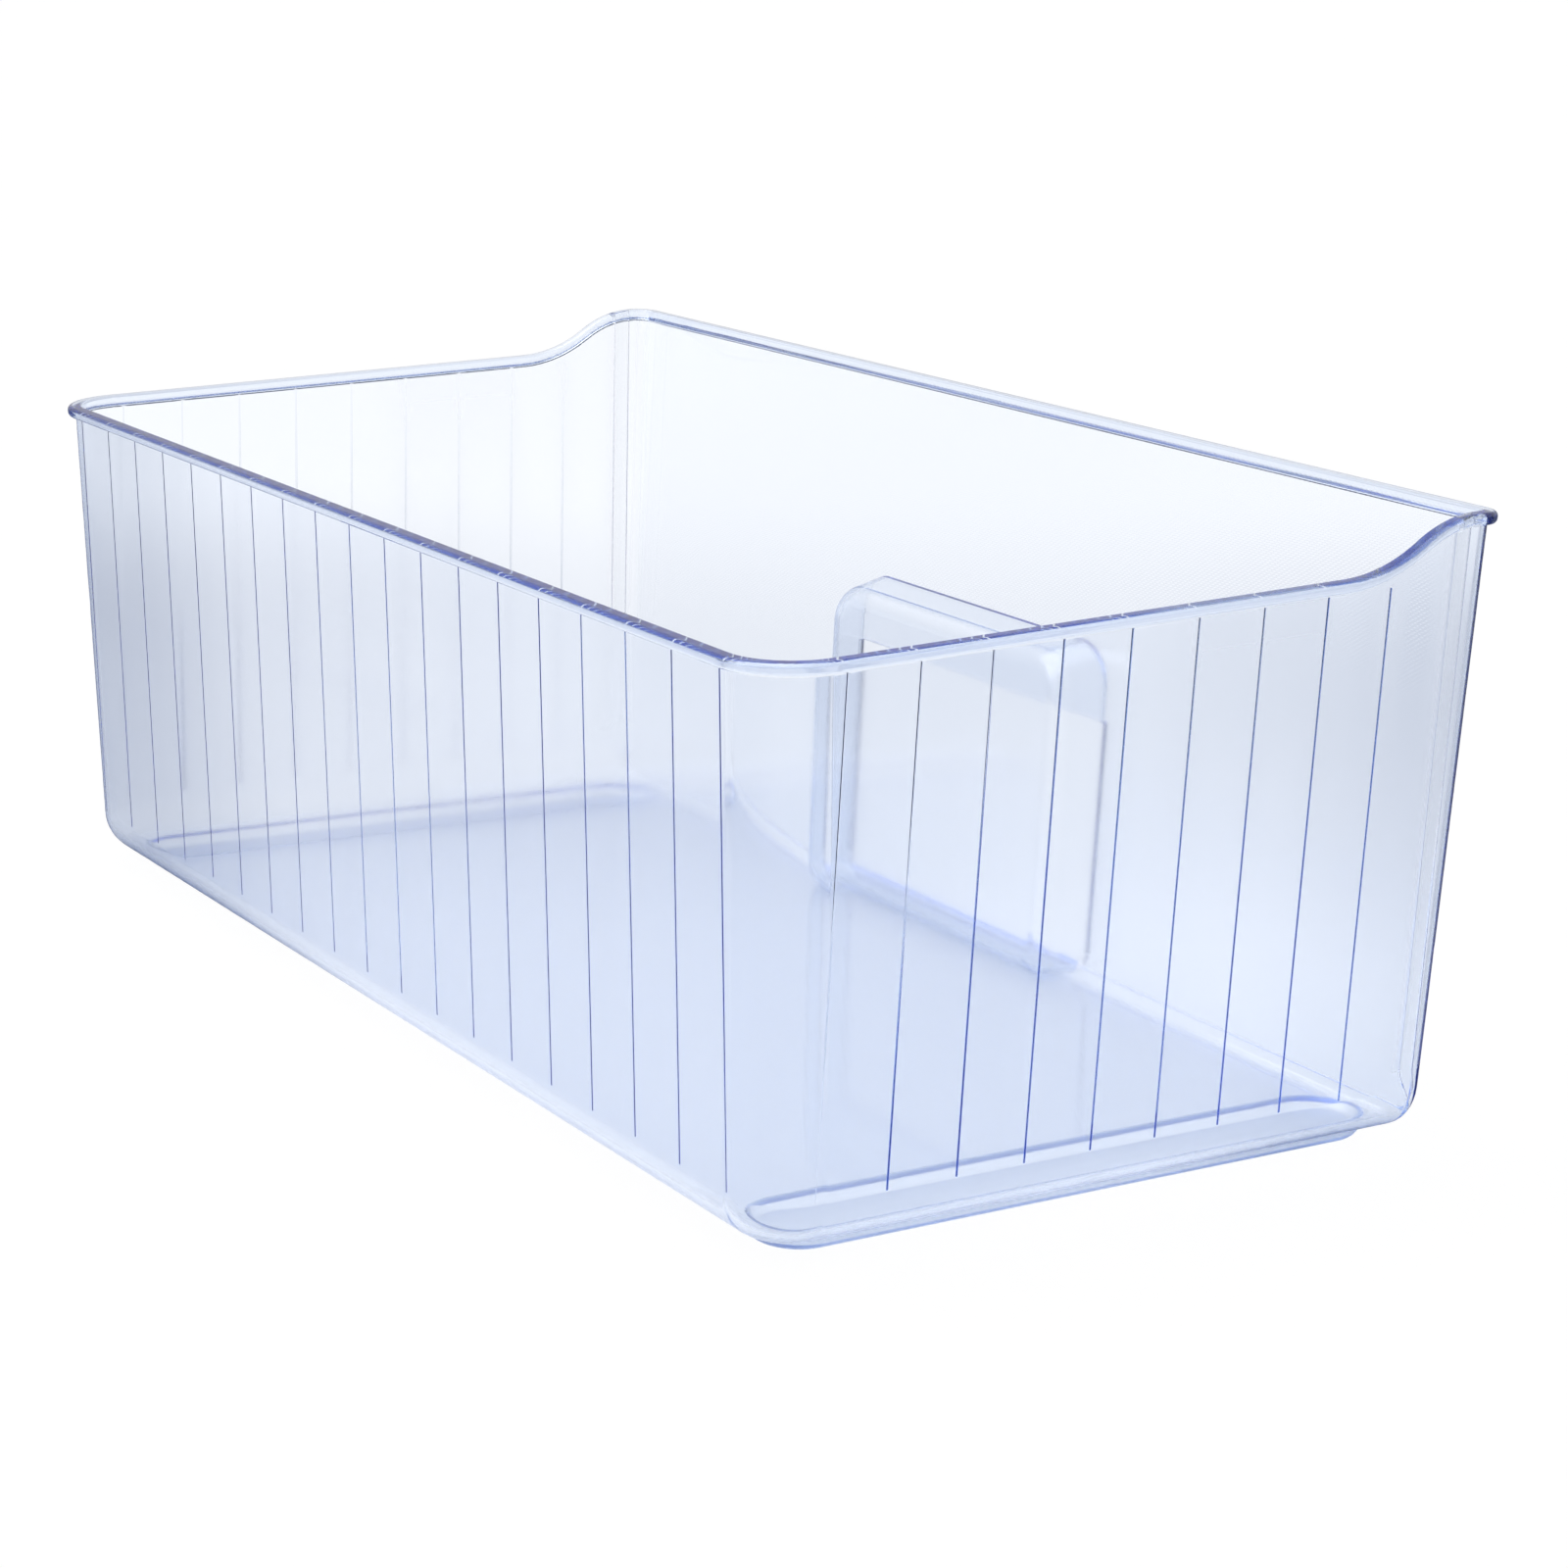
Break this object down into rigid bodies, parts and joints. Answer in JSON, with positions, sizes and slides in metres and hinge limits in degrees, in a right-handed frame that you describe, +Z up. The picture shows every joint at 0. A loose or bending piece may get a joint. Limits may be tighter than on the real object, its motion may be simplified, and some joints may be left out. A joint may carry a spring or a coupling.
{
  "type": "fridge bin",
  "caption": "Clear open-topped refrigerator crisper bin with a raised front wall, a moulded finger pocket and two long glide feet.",
  "frame": {"origin": "middle of the bounding box in plan, on the surface that the glide feet stand on", "axes": "+X along the bin's long side, -Y towards the tall front wall with the grip, +Z up"},
  "size_m": [0.467, 0.2409, 0.1865],
  "materials": {
    "body_plastic": "clear, polished, faint blue",
    "panel_plastic": "clear, fine texture, faint blue",
    "pocket_plastic": "clear, polished, faint blue"
  },
  "bodies": {
    "root": {"bin_body": "body_plastic", "front_panel": "panel_plastic", "grip_pocket": "pocket_plastic"}
  },
  "joints": []
}
